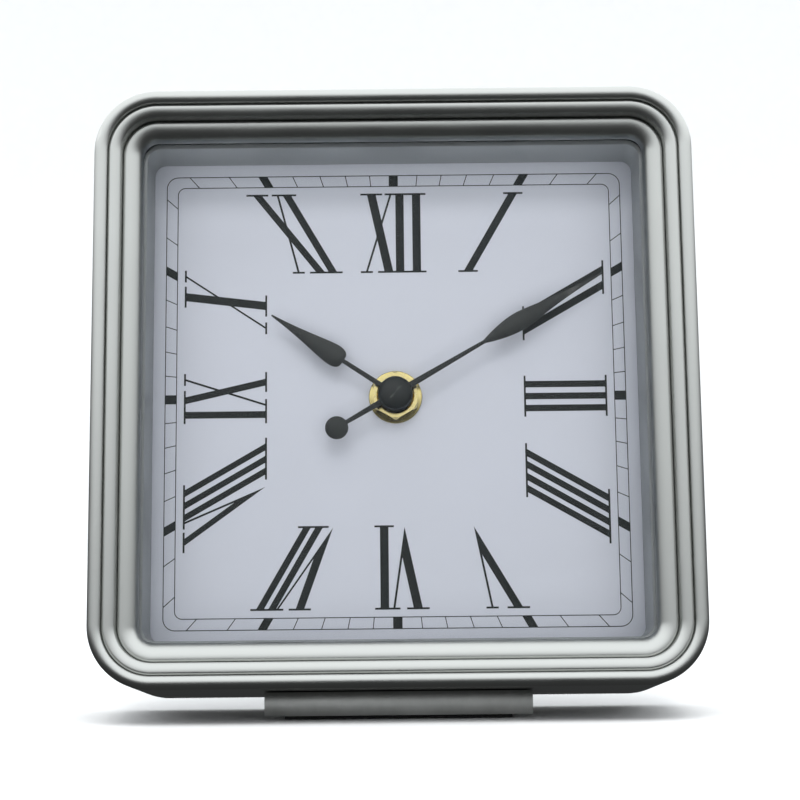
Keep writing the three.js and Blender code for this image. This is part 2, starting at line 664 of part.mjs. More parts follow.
function coilBobbin() {
  const { half, flange, flangeRadius, tube } = COIL;
  const spool = turned([[0, -half], [flangeRadius, -half], [flangeRadius, flange - half],
    [tube, flange - half], [tube, half - flange], [flangeRadius, half - flange],
    [flangeRadius, half], [0, half]]);
  return cut(across(spool), coreBar(half + 1, GAP));
}

function coilWinding() {
  const half = COIL.half - COIL.flange - GAP;
  const outside = rod(COIL.flangeRadius - 0.4, -half, half, 0, 0, 24);
  const bore = rod(COIL.tube + GAP, -half - 1, half + 1, 0, 0, 24);
  return cut(across(outside), across(bore));
}

const CONTACT = { inset: 0.35, sheet: 0.4, low: -25, top: -12.8, rear: -14.5, front: -7.8,
  tab: { low: -13, high: -9, rear: -12, front: -8 }, railHeight: 0.5 };

// Spring leaf beside the battery, a tab up past the shelf and a rail along it to the board.
function contact(side, railEnd) {
  const { inset, sheet, low, top, rear, front, tab, railHeight } = CONTACT;
  const outer = side * (inner - inset);
  const [left, right] = [outer, outer - side * sheet].sort((a, b) => a - b);
  const leaf = box([left, low, rear], [right, top, front]);
  const riser = box([left, tab.low, tab.rear], [right, tab.high, tab.front]);
  const rail = box([Math.min(outer, railEnd), tab.high - railHeight, tab.rear],
    [Math.max(outer, railEnd), tab.high, tab.front]);
  return join(leaf, riser, rail);
}

function battery() {
  const { radius, length, nub, nubRadius } = BATTERY;
  return turned([[0, -length + nub], [radius - 0.4, -length + nub], [radius, -length + nub + 0.4],
    [radius, -0.6], [radius - 0.6, 0], [nubRadius, 0], [nubRadius, nub], [0, nub]], 32)
    .rotateY(-Math.PI / 2)
    .translate(BATTERY.left + nub, BATTERY.y, BATTERY.z);
}

const place = (mesh, { x, y }) => mesh.position.set(x, y, 0);

add("movement_housing", movementHousing(), "blackPlastic");
add("movement_front_plate", movementFrontPlate(), "blackPlastic");
add("threaded_bush", threadedBush(), "brass");
add("minute_pipe", minutePipe(), "brass");
add("hour_wheel", hourWheel(), "whitePlastic");
place(add("minute_wheel", minuteWheel(), "whitePlastic"), minuteArbor);
place(add("setting_knob", settingKnob(), "blackPlastic"), knobArbor);
add("centre_wheel", centreWheel(), "whitePlastic");
place(add("third_wheel", thirdWheel(), "whitePlastic"), thirdArbor);
add("seconds_wheel", secondsWheel(), "whitePlastic");
place(add("intermediate_wheel", intermediateWheel(), "whitePlastic"), interArbor);
place(add("rotor", rotor(), "steel"), rotorArbor);
add("middle_plate", middlePlate(), "whitePlastic");
add("train_plate", trainPlate(), "whitePlastic");
add("stator", stator(), "steel");
add("coil_core", coreBar(CORE.half), "steel");
add("coil_bobbin", coilBobbin(), "whitePlastic");
add("coil_winding", coilWinding(), "copper");
add("circuit_board", box([15.5, -8.6, -16.6], [25.4, 25.6, -15.8]), "board");
add("chip", turned([[0, 0], [2.4, 0], [2, 0.7], [0, 1]], 16), "blackPlastic").position.set(20.5, 0, -15.5);
add("quartz_crystal", rod(1, 0, 6, 0, 0, 12).rotateX(-Math.PI / 2), "steel").position.set(20.5, 8, -14.4);
add("contact_positive", contact(-1, 17), "steel");
add("contact_negative", contact(1, 22), "steel");
add("battery", battery(), "battery");

export default clock;
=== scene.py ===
"""Looks of a square silver table clock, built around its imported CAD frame."""

import json
import math

import bmesh
import bpy
from mathutils import Matrix, Vector
from mathutils.geometry import tessellate_polygon


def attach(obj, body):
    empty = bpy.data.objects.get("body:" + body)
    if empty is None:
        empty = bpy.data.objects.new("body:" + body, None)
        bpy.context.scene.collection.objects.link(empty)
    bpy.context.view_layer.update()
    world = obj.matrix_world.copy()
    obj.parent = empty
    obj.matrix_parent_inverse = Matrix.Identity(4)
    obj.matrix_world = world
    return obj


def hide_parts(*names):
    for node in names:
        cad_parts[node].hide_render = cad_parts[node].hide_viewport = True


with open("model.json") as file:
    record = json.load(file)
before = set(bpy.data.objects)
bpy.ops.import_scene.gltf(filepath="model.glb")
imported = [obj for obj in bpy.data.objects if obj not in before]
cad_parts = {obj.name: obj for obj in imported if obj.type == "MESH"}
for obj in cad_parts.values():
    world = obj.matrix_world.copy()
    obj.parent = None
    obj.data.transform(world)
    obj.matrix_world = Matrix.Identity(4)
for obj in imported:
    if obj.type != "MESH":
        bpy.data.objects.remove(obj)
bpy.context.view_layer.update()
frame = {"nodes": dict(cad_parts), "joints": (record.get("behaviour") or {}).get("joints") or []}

# Lengths are millimetres in the clock's own frame: x across the dial, y up it, z out of its face.
MM = 0.001


def clock_matrix():
    joint = next(j for j in frame["joints"] if j["name"] == "minute_turn")
    out = -Vector(joint["axis"]).normalized()
    right = Vector((1, 0, 0))
    basis = Matrix((right, out.cross(right), out)).transposed().to_4x4()
    return Matrix.Translation(Vector(joint["pos_m"])) @ basis @ Matrix.Scale(MM, 4)


CLOCK = clock_matrix()
TO_CLOCK = CLOCK.inverted()


def node_span(node):
    """Lowest and highest corners of a CAD node in the clock's own frame."""
    corners = [TO_CLOCK @ v.co for v in frame["nodes"][node].data.vertices]
    return [(min(c[i] for c in corners), max(c[i] for c in corners)) for i in range(3)]


# ---------------------------------------------------------------- camera

# Place in the clock's frame in mm, roll in degrees, lens in mm.
CAMERA_PLACE = (0, -92.1, 487.4)
CAMERA_ROLL = 0.6
FOCAL_LENGTH = 93.5
CAMERA_SHIFT = (0.0056, -0.0031)


def make_camera():
    data = bpy.data.cameras.new("camera")
    data.lens = FOCAL_LENGTH
    data.sensor_width = 36
    data.shift_x, data.shift_y = CAMERA_SHIFT
    data.clip_start = 0.01
    camera = bpy.data.objects.new("camera", data)
    bpy.context.scene.collection.objects.link(camera)
    place = CLOCK @ Vector(CAMERA_PLACE)
    back = (place - CLOCK.translation).normalized()
    right = Vector((1, 0, 0))
    turn = Matrix((right, back.cross(right), back)).transposed().to_4x4()
    roll = Matrix.Rotation(math.radians(-CAMERA_ROLL), 4, "Z")
    camera.matrix_world = Matrix.Translation(place) @ turn @ roll
    bpy.context.scene.camera = camera


make_camera()

# ---------------------------------------------------------------- mesh building
# A part is (points, faces, flat): flat says which faces keep their own flat shading.


def merged(*parts):
    points, faces, flat = [], [], []
    for part_points, part_faces, part_flat in parts:
        base = len(points)
        points += part_points
        faces += [tuple(i + base for i in face) for face in part_faces]
        flat += part_flat
    return points, faces, flat


def moved(part, matrix):
    points, faces, flat = part
    return [matrix @ Vector(p) for p in points], faces, flat


def shifted(part, x=0, y=0, z=0):
    return moved(part, Matrix.Translation((x, y, z)))


def skin(rings, close=False):
    """Quads between neighbouring rings that run counter-clockwise, from the lowest ring up."""
    count = len(rings[0])
    points = [p for ring in rings for p in ring]
    faces = []
    for level in range(len(rings) if close else len(rings) - 1):
        low = level * count
        high = ((level + 1) % len(rings)) * count
        for i in range(count):
            j = (i + 1) % count
            faces.append((low + i, low + j, high + j, high + i))
    return points, faces, [False] * len(faces)


def inset(loop, distance):
    """Loop moved to its left, into the material, by a distance."""
    result = []
    for i, point in enumerate(loop):
        before = (point - loop[i - 1]).normalized()
        after = (loop[(i + 1) % len(loop)] - point).normalized()
        first = Vector((-before.y, before.x))
        second = Vector((-after.y, after.x))
        share = max(0.35, 1 + first.dot(second))
        result.append(point + (first + second) * (distance / share))
    return result


def slab(loops, low, high, edge=0):
    """Plate from an outer loop and clockwise holes, with its edges rounded by edge."""
    loops = [[Vector(p) for p in loop] for loop in loops]
    arc = [math.radians(45 * step) for step in range(3)] if edge else [0]
    levels = [(low + edge - edge * math.cos(a), edge - edge * math.sin(a)) for a in arc]
    levels += [(high - edge + edge * math.sin(a), edge - edge * math.cos(a)) for a in arc]
    sides, caps = [], []
    for loop in loops:
        rings = [[(*p, z) for p in inset(loop, depth)] for z, depth in levels]
        sides.append(skin(rings))
        caps.append((rings[0], rings[-1]))
    for top in (False, True):
        rings = [pair[top] for pair in caps]
        flat = [Vector((p[0], p[1], 0)) for ring in rings for p in ring]
        faces = []
        for face in tessellate_polygon([[Vector((p[0], p[1], 0)) for p in ring] for ring in rings]):
            a, b, c = (flat[i] for i in face)
            upward = (b - a).cross(c - a).z > 0
            faces.append(tuple(face) if upward == top else tuple(reversed(face)))
        sides.append(([p for ring in rings for p in ring], faces, [True] * len(faces)))
    return merged(*sides)


def turned(profile, segments=48, closed=False):
    """Solid of revolution about z from (radius, z) points, rear first on the outer side."""
    points, faces, flat = [], [], []
    rows = []
    for radius, z in profile:
        if radius < 1e-6:
            rows.append([len(points)] * segments)
            points.append((0, 0, z))
            continue
        rows.append(range(len(points), len(points) + segments))
        for i in range(segments):
            angle = 2 * math.pi * i / segments
            points.append((radius * math.cos(angle), radius * math.sin(angle), z))
    for level in range(len(rows) if closed else len(rows) - 1):
        low, high = rows[level], rows[(level + 1) % len(rows)]
        level_face = abs(profile[level][1] - profile[(level + 1) % len(rows)][1]) < 1e-6
        for i in range(segments):
            j = (i + 1) % segments
            corners = dict.fromkeys((low[i], low[j], high[j], high[i]))
            faces.append(tuple(corners))
            flat.append(level_face)
    return points, faces, flat


def arc_points(x, z, radius_x, radius_z, start, end, steps):
    points = []
    for step in range(steps + 1):
        angle = math.radians(start + (end - start) * step / steps)
        points.append((x + radius_x * math.cos(angle), z + radius_z * math.sin(angle)))
    return points


def circle(radius, x=0, y=0, sides=48, clockwise=False):
    points = [Vector((x + radius * math.cos(2 * math.pi * i / sides),
                      y + radius * math.sin(2 * math.pi * i / sides))) for i in range(sides)]
    return points[::-1] if clockwise else points


def rounded_square(half, corner, steps=10, clockwise=False):
    straight = half - corner
    points = []
    for quarter in range(4):
        x = straight * (1 if quarter in (0, 3) else -1)
        y = straight * (1 if quarter < 2 else -1)
        for step in range(steps + 1):
            angle = (quarter + step / steps) * math.pi / 2
            points.append(Vector((x + corner * math.cos(angle), y + corner * math.sin(angle))))
    return points[::-1] if clockwise else points


CORNER_CENTRE = 55.2


def swept_ring(profile, steps=22):
    """Ring round the case from a closed (half-size, z) profile whose outer side rises."""
    rings = []
    for half, z in profile:
        rings.append([(p.x, p.y, z) for p in rounded_square(half, half - CORNER_CENTRE, steps)])
    return skin(rings, close=True)


# ---------------------------------------------------------------- materials


def node(tree, kind, **values):
    made = tree.nodes.new(kind)
    for key, value in values.items():
        if key in made.inputs:
            made.inputs[key].default_value = value
        else:
            setattr(made, key, value)
    return made


def noise_of(tree, coordinates, scale, detail=4.0, stretch=None):
    source = coordinates
    if stretch:
        mapping = node(tree, "ShaderNodeMapping")
        mapping.inputs["Scale"].default_value = stretch
        tree.links.new(coordinates, mapping.inputs["Vector"])
        source = mapping.outputs["Vector"]
    texture = node(tree, "ShaderNodeTexNoise", Scale=scale, Detail=detail, Roughness=0.55)
    tree.links.new(source, texture.inputs["Vector"])
    return texture.outputs["Fac"]


def span_of(tree, value, low, high, from_low=0.3, from_high=0.7):
    spread = node(tree, "ShaderNodeMapRange")
    spread.inputs["From Min"].default_value = from_low
    spread.inputs["From Max"].default_value = from_high
    spread.inputs["To Min"].default_value = low
    spread.inputs["To Max"].default_value = high
    tree.links.new(value, spread.inputs["Value"])
    return spread.outputs["Result"]


def tinted(tree, factor, first, second):
    mix = node(tree, "ShaderNodeMix", data_type="RGBA")
    colours = [s for s in mix.inputs if s.type == "RGBA"]
    colours[0].default_value = (*first, 1)
    colours[1].default_value = (*second, 1)
    tree.links.new(factor, mix.inputs[0])
    return next(s for s in mix.outputs if s.type == "RGBA")


def look(name, colour, roughness, metallic=0.0, vary=0.06, rough_vary=0.06, grain=2600,
         grain_depth=0.00002, grain_strength=0.25, patch=45, wear=None, stretch=None, **sockets):
    """Procedural finish: patchy colour and gloss, a fine grain in the bump, and worn edges."""
    material = bpy.data.materials.new(name)
    material.use_nodes = True
    tree = material.node_tree
    shader = tree.nodes["Principled BSDF"]
    coordinates = node(tree, "ShaderNodeTexCoord").outputs["Object"]
    coarse = noise_of(tree, coordinates, patch)
    fine = noise_of(tree, coordinates, grain, detail=2.0, stretch=stretch)
    darker = [c * (1 - vary) for c in colour]
    lighter = [min(1, c * (1 + vary)) for c in colour]
    base = tinted(tree, span_of(tree, coarse, 0, 1), darker, lighter)
    if wear:
        worn_colour, amount = wear
        edges = node(tree, "ShaderNodeNewGeometry").outputs["Pointiness"]
        mask = node(tree, "ShaderNodeMath", operation="MULTIPLY")
        tree.links.new(span_of(tree, edges, 0, amount, 0.52, 0.6), mask.inputs[0])
        tree.links.new(span_of(tree, noise_of(tree, coordinates, patch * 9), 0, 1), mask.inputs[1])
        blend = node(tree, "ShaderNodeMix", data_type="RGBA")
        colours = [s for s in blend.inputs if s.type == "RGBA"]
        tree.links.new(mask.outputs[0], blend.inputs[0])
        tree.links.new(base, colours[0])
        colours[1].default_value = (*worn_colour, 1)
        base = next(s for s in blend.outputs if s.type == "RGBA")
    tree.links.new(base, shader.inputs["Base Color"])
    tree.links.new(span_of(tree, coarse, roughness - rough_vary, roughness + rough_vary),
                   shader.inputs["Roughness"])
    bump = node(tree, "ShaderNodeBump", Strength=grain_strength, Distance=grain_depth)
    tree.links.new(fine, bump.inputs["Height"])
    tree.links.new(bump.outputs["Normal"], shader.inputs["Normal"])
    shader.inputs["Metallic"].default_value = metallic
    for socket, value in sockets.items():
        shader.inputs[socket.replace("_", " ")].default_value = value
    return material


def glass_look():
    material = look("clear_glass", (0.10, 0.12, 0.14), 0.05, vary=0.05, rough_vary=0.02,
                    grain=90, grain_depth=0.000005, grain_strength=0.15)
    tree = material.node_tree
    shader = tree.nodes["Principled BSDF"]
    shader.inputs["IOR"].default_value = 1.5
    fresnel = node(tree, "ShaderNodeFresnel", IOR=1.5)
    alpha = node(tree, "ShaderNodeMath", operation="MULTIPLY_ADD")
    alpha.inputs[1].default_value = 0.8
    alpha.inputs[2].default_value = 0.01
    tree.links.new(fresnel.outputs["Fac"], alpha.inputs[0])
    tree.links.new(alpha.outputs[0], shader.inputs["Alpha"])
    return material


LOOKS = {
    "silver": look("satin_silver", (0.58, 0.59, 0.57), 0.37, 1.0, vary=0.03, rough_vary=0.04,
                   grain=5200, grain_depth=0.00001, grain_strength=0.35,
                   wear=((0.80, 0.80, 0.78), 0.5)),
    "surround": look("sprayed_silver_plastic", (0.42, 0.44, 0.44), 0.42, 0.45, vary=0.05,
                     grain=6500, grain_depth=0.000012, grain_strength=0.4),
    "dial": look("matt_white_dial", (0.76, 0.78, 0.86), 0.6, 0.0, vary=0.012, rough_vary=0.05,
                 grain=7000, grain_depth=0.000006, grain_strength=0.3, patch=22),
    "print": look("black_ink", (0.010, 0.012, 0.009), 0.6, vary=0.18, grain=6000,
                  grain_depth=0.000006, patch=260),
    "hands": look("black_lacquer", (0.012, 0.014, 0.011), 0.42, 0.0, vary=0.15, rough_vary=0.08,
                  grain=3800, grain_depth=0.000008, wear=((0.16, 0.16, 0.15), 0.6), patch=160),
    "brass": look("turned_brass", (0.74, 0.62, 0.27), 0.22, 1.0, vary=0.08, rough_vary=0.08,
                  grain=3000, grain_depth=0.00001, stretch=(1, 1, 6), patch=320,
                  wear=((0.95, 0.80, 0.45), 0.6)),
    "cover": look("textured_grey_plastic", (0.085, 0.088, 0.092), 0.6, vary=0.1, rough_vary=0.08,
                  grain=1500, grain_depth=0.00008, grain_strength=0.7, patch=60,
                  wear=((0.20, 0.20, 0.21), 0.5)),
    "black": look("moulded_black_plastic", (0.022, 0.022, 0.024), 0.5, vary=0.12, rough_vary=0.08,
                  grain=2400, grain_depth=0.00005, grain_strength=0.6, patch=110,
                  wear=((0.10, 0.10, 0.10), 0.5)),
    "acetal": look("natural_acetal", (0.74, 0.72, 0.64), 0.45, vary=0.05, grain=1800, patch=180,
                   Subsurface_Weight=0.1),
    "steel": look("plated_steel", (0.58, 0.58, 0.57), 0.3, 1.0, vary=0.08, rough_vary=0.1,
                  grain=2600, grain_depth=0.00001, stretch=(1, 7, 1), patch=240,
                  wear=((0.82, 0.82, 0.80), 0.6)),
    "rubber": look("matt_rubber", (0.020, 0.020, 0.020), 0.85, vary=0.2, grain=2200,
                   grain_depth=0.00005, grain_strength=0.7, patch=150),
    "copper": look("enamelled_wire", (0.55, 0.22, 0.08), 0.32, 0.9, vary=0.15, grain=900,
                   grain_depth=0.0001, grain_strength=0.8, stretch=(9, 1, 1), patch=300),
    "board": look("solder_mask", (0.03, 0.17, 0.07), 0.4, vary=0.2, grain=1300,
                  grain_depth=0.00003, patch=400),
    "wrap": look("printed_wrap", (0.045, 0.11, 0.24), 0.28, 0.15, vary=0.04, grain=2600,
                 grain_depth=0.00001, patch=120, Coat_Weight=0.5),
    "glass": glass_look(),
}

# ---------------------------------------------------------------- pieces

SHARP_ANGLE = math.radians(32)


def piece(name, part, finish, body, replaced=(), matrix=CLOCK):
    points, faces, flat = part
    mesh = bpy.data.meshes.new(name)
    mesh.from_pydata([matrix @ Vector(p) for p in points], [], faces)
    mesh.polygons.foreach_set("use_smooth", [not value for value in flat])
    work = bmesh.new()
    work.from_mesh(mesh)
    bmesh.ops.remove_doubles(work, verts=work.verts, dist=1e-8)
    work.to_mesh(mesh)
    work.free()
    mesh.set_sharp_from_angle(angle=SHARP_ANGLE)
    return installed(name, mesh, finish, body, replaced)


def installed(name, mesh, finish, body, replaced=()):
    thing = bpy.data.objects.new(name, mesh)
    bpy.context.scene.collection.objects.link(thing)
    mesh.materials.clear()
    mesh.materials.append(LOOKS[finish])
    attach(thing, body)
    if replaced:
        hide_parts(*replaced)
    return thing


def refined(name, source, finish, body, edge):
    """A CAD node's own shape with its hard edges rounded, in place of that node."""
    work = bmesh.new()
    work.from_mesh(frame["nodes"][source].data)
    bmesh.ops.remove_doubles(work, verts=work.verts, dist=1e-6)
    bmesh.ops.dissolve_limit(work, angle_limit=math.radians(0.5), verts=work.verts,
                             edges=work.edges)
    hard = [e for e in work.edges if e.is_manifold and e.calc_face_angle(0) > SHARP_ANGLE]
    bmesh.ops.bevel(work, geom=hard, offset=edge * MM, segments=2, profile=0.5,
                    affect="EDGES", clamp_overlap=True)
    mesh = bpy.data.meshes.new(name)
    work.to_mesh(mesh)
    work.free()
    mesh.polygons.foreach_set("use_smooth", [True] * len(mesh.polygons))
    mesh.set_sharp_from_angle(angle=SHARP_ANGLE)
    return installed(name, mesh, finish, body, (source,))


# ---------------------------------------------------------------- case

CASE_HALF = node_span("front_case")[0][1]
CASE_REAR = node_span("front_case")[2][0]
CASE_WALL = 1.3
# Crest half-size, crest height, outer radius and inner drop of the ribs, outermost first.
RIBS = ((68.1, 22.8, 1.6, 1.1), (65.75, 21.65, 0.75, 1.35))
INNER_RIB = (62.65, 18.4, 0.75)
GROOVES = ((66.5, 20.95), (63.4, 17.7))
FLANK_START = 20
CREST_END = 152
RIB_HOLLOW = [(63.8, 15.5), (65.2, 18.6), (67.2, 18.9), (68.4, 17.8)]
LIP = {"half": 58.8, "front": 15.3, "back": 15.2, "back_half": 61.9}


def case_profile():
    inside = CASE_HALF - CASE_WALL
    points = [(CASE_HALF - 0.3, CASE_REAR), (CASE_HALF - 0.09, CASE_REAR + 0.09),
              (CASE_HALF, CASE_REAR + 0.3), (CASE_HALF, CASE_REAR + 0.8),
              (CASE_HALF, RIBS[0][1] - 2.2)]
    start = 0
    for (crest, top, radius, drop), groove in zip(RIBS, GROOVES):
        points += arc_points(crest, top - radius, radius, radius, start, 90, 11)
        points += arc_points(crest, top - drop, crest - groove[0], drop, 90, CREST_END, 9)[1:]
        points.append(groove)
        start = FLANK_START
    half, top, radius = INNER_RIB
    points += arc_points(half, top - radius, radius, radius, start, 90, 9)
    drop = top - LIP["front"]
    points += arc_points(half, LIP["front"], half - LIP["half"], drop, 90, 180, 14)[1:]
    points += [(LIP["half"], LIP["back"]), (LIP["back_half"], LIP["back"]), *RIB_HOLLOW,
               (inside, CASE_REAR)]
    return points


piece("stepped_frame", swept_ring(case_profile()), "silver", "case",
      ("front_case",))

LENS_HALF = node_span("lens")[0][1]
LENS_BACK, LENS_FRONT = node_span("lens")[2]
piece("clear_lens", slab([rounded_square(LENS_HALF, LENS_HALF - CORNER_CENTRE, 14)],
                         LENS_BACK, LENS_FRONT, 0.25), "glass", "case", ("lens",))

SURROUND = {"front": 12.5, "back": 0.3, "front_half": 58.3, "back_half": 57.9, "outer_half": 59.6}
FLANGE = {"half": 68.1, "thickness": 1.8}
BOSS = {"bore": 1.5, "radius": 2.6}
SCREW_AT = 62.5
SCREW_PLACES = [(x * SCREW_AT, y * SCREW_AT) for x, y in ((-1, 1), (1, 1), (1, -1), (-1, -1))]
COVER_FRONT = CASE_REAR + 1.8


def corners_of(part):
    return [shifted(part, x, y) for x, y in SCREW_PLACES]


def surround_part():
    s = SURROUND
    flange_front = s["back"] + FLANGE["thickness"]
    ring = swept_ring([
        (FLANGE["half"], s["back"]), (FLANGE["half"], flange_front),
        (s["outer_half"], flange_front), (s["outer_half"], s["front"] - 0.2),
        (s["outer_half"] - 0.2, s["front"]), (s["front_half"] + 0.25, s["front"]),
        (s["front_half"] + 0.07, s["front"] - 0.07), (s["front_half"] - 0.01, s["front"] - 0.25),
        (s["back_half"] + 0.02, s["back"] + 0.5), (s["back_half"], s["back"])], 12)
    bore, outer = BOSS["bore"], BOSS["radius"]
    rear, front = COVER_FRONT + 0.3, s["back"] + 0.4
    boss = turned([(bore, rear), (outer, rear), (outer, front), (bore, front)], 24, closed=True)
    return merged(ring, *corners_of(boss))


piece("dial_frame", surround_part(), "surround", "case", ("dial_surround",))

# ---------------------------------------------------------------- dial print

PRINT_HEIGHT = 0.04
THIN_DROP = 0.008
SERIF_OUTER = 50.3
SERIF_INNER = 30.9
SERIF_THICK = 0.45
OVERHANG = {"upright": 1.3, "thick": 1.6, "thin": 1.2}
BRACKET = 0.75
TRACK = ((55.0, 2.8), (52.3, 1.8))
TRACK_LINE = 0.2
TICK_WIDTH = 0.2
HOUR_BAR_WIDTH = 2.2
APEX = 31.1

# Strokes as offsets along the side from the numeral's radial line, at the outer and the inner end.
# "i" is an upright, "x" the two strokes of a cross and "v" the point and the two outer ends of a V.
NUMERALS = (
    (("x", 2.1, (-4.05, 0.15), (0.9, -5.2)), ("i", 2.0, 3.1)),
    (("x", 2.1, (-5.4, -1.25), (-0.7, -6.6)), ("i", 2.0, 1.45), ("i", 2.0, 5.5)),
    (("i", 2.1, 0),),
    (("i", 2.05, -1.85), ("i", 2.05, 1.85)),
    (("i", 1.55, -2.9), ("i", 1.55, 0), ("i", 1.55, 2.9)),
    (("i", 1.75, -4.3), ("i", 1.75, -1.45), ("i", 1.75, 1.45), ("i", 1.75, 4.3)),
    (("v", 2.1, -0.2, 0.67, 6.8),),
    (("v", 2.1, -1.8, -4.85, 0.8), ("i", 2.0, 3.0)),
    (("v", 2.0, -2.9, -6.1, -0.8), ("i", 1.8, 0.45), ("i", 1.8, 3.3)),
    (("v", 1.65, -3.3, -5.3, -0.7), ("i", 1.65, 0.5), ("i", 1.65, 3.35), ("i", 1.65, 6.3)),
    (("i", 1.65, -3.8), ("x", 1.65, (-0.3, 4.1), (4.8, -1.5))),
    (("x", 2.0, (-3.9, 4.9), (1.2, -0.6)),),
)
THIN_WIDTH = 0.5


def prism(outline, low, high):
    """Closed prism from an outline in either direction."""
    loop = [Vector(p) for p in outline]
    area = sum(a.x * b.y - b.x * a.y for a, b in zip(loop, loop[1:] + loop[:1]))
    if area < 0:
        loop.reverse()
    return slab([loop], low, high)


def side_point(side, t, r):
    """Point t along a side, clockwise, and r outward, on the top, right, bottom or left side."""
    return ((t, r), (r, -t), (-t, -r), (-r, t))[side]


def ink(side, outline, drop=0.0):
    return prism([side_point(side, t, r) for t, r in outline], 0.002, PRINT_HEIGHT - drop)


def numeral(side, degrees, strokes):
    lean = math.tan(math.radians(degrees))
    ends = (SERIF_OUTER, SERIF_INNER)
    parts = []
    spans = {SERIF_OUTER: [], SERIF_INNER: []}

    def at(r, offset):
        return (r * lean + offset, r)

    def bar(width, outer, inner, overhang, drop=0.0):
        half = width / 2
        parts.append(ink(side, [at(ends[0], outer - half), at(ends[0], outer + half),
                                at(ends[1], inner + half), at(ends[1], inner - half)], drop))
        for r, offset in ((ends[0], outer), (ends[1], inner)):
            spans[r].append((offset - half - overhang, offset + half + overhang))
        if width < 1:
            return
        slope = (outer - inner) / (ends[0] - ends[1])
        for r, offset, inward in ((ends[0], outer, -1), (ends[1], inner, 1)):
            for way in (-1, 1):
                foot = [(BRACKET * (1 - s) ** 2, BRACKET * s ** 2) for s in (0, 0.25, 0.5, 0.75, 1)]
                corner = [at(r + inward * b, offset + way * (half - 0.1 + a) + slope * inward * b)
                          for a, b in foot]
                corner.append(at(r, offset + way * (half - 0.1)))
                parts.append(ink(side, corner, 0.004))

    for stroke in strokes:
        kind, width = stroke[:2]
        if kind == "i":
            bar(width, stroke[2], stroke[2], OVERHANG["upright"])
        elif kind == "x":
            bar(width, *stroke[2], OVERHANG["thick"])
            bar(THIN_WIDTH, *stroke[3], OVERHANG["thin"], THIN_DROP)
        else:
            point, thick, thin = stroke[2:]
            half, thin_half = width / 2, THIN_WIDTH / 2
            outer_left, outer_right = thick - half, thick + half
            thin_left, thin_right = thin - thin_half, thin + thin_half
            height = SERIF_OUTER - APEX
            left_slope = (outer_left - point) / height
            right_slope = (thin_right - point) / height
            rise = (width + THIN_WIDTH) / (right_slope - left_slope)
            rise = min(rise, height - 1)
            crotch = point + width + left_slope * rise
            parts.append(ink(side, [at(SERIF_OUTER, outer_left), at(SERIF_OUTER, outer_right),
                                    at(APEX + rise, crotch), at(SERIF_OUTER, thin_left),
                                    at(SERIF_OUTER, thin_right), at(APEX, point)]))
            spans[SERIF_OUTER].append((outer_left - OVERHANG["thick"],
                                       outer_right + OVERHANG["thick"]))
            spans[SERIF_OUTER].append((thin_left - OVERHANG["thin"], thin_right + OVERHANG["thin"]))
    for r, pieces_at in spans.items():
        joined = []
        for start, end in sorted(pieces_at):
            if joined and start <= joined[-1][1]:
                joined[-1][1] = max(end, joined[-1][1])
            else:
                joined.append([start, end])
        for start, end in joined:
            half = SERIF_THICK / 2
            parts.append(ink(side, [(r * lean + start, r - half), (r * lean + end, r - half),
                                    (r * lean + end, r + half), (r * lean + start, r + half)],
                             THIN_DROP / 4))
    return parts


def track():
    parts = []
    for half, corner in TRACK:
        width = TRACK_LINE / 2
        parts.append(slab([rounded_square(half + width, corner + width, 8),
                           rounded_square(half - width, corner - width, 8, True)],
                          0.002, PRINT_HEIGHT))
    outer, inner = TRACK[0][0], TRACK[1][0]
    for side in range(4):
        for minute in range(-7, 8):
            lean = math.tan(math.radians(6 * minute))
            half = (HOUR_BAR_WIDTH if minute % 5 == 0 else TICK_WIDTH) / 2
            if minute % 5:
                half /= math.cos(math.radians(6 * minute))
            parts.append(ink(side, [(inner * lean - half, inner), (inner * lean + half, inner),
                                    (outer * lean + half, outer), (outer * lean - half, outer)],
                             THIN_DROP))
    return parts


def dial_print():
    parts = track()
    for index, strokes in enumerate(NUMERALS):
        side, place = divmod(index, 3)
        parts += numeral(side, 30 * (place - 1), strokes)
    return merged(*parts)


piece("dial_print", dial_print(), "print", "case")

# ---------------------------------------------------------------- hands

HOUR_ANGLE = math.radians(303.6)
MINUTE_ANGLE = math.radians(59.9)
HOUR_BACK = node_span("hour_hand")[2][0]
MINUTE_BACK = node_span("minute_hand")[2][0]
HAND_THICKNESS = 0.4
HAND_EDGE = 0.1
BLADES = {
    "hour": {"root": 0.62, "stem": 0.5, "start": 14.8, "swell": (2.1, 14.7, 15.9),
             "widest": 17.5, "half": 2.6, "taper": (20, 0.9, 26.5), "length": 35.2,
             "hub": 4.0, "hole": 2.7},
    "minute": {"root": 0.75, "stem": 0.42, "start": 24.6, "swell": (1.3, 27, 31),
               "widest": 34, "half": 2.25, "taper": (38, 0.7, 42), "length": 57.3,
               "hub": 3.6, "hole": 1.62},
}
TAIL = {"length": 16.1, "radius": 2.75, "root": 0.7, "stem": 0.5}
TIP = 0.2


def bezier(start, first, second, end, steps):
    points = []
    for step in range(1, steps + 1):
        s = step / steps
        weights = ((1 - s) ** 3, 3 * s * (1 - s) ** 2, 3 * s * s * (1 - s), s ** 3)
        points.append(sum((Vector(p) * w for p, w in zip((start, first, second, end), weights)),
                          Vector((0, 0))))
    return points


def swing(radius, start, end, steps, y=0):
    """Points of an arc between two angles in radians, both ends included."""
    return [Vector((radius * math.cos(start + (end - start) * i / steps),
                    y + radius * math.sin(start + (end - start) * i / steps)))
            for i in range(steps + 1)]


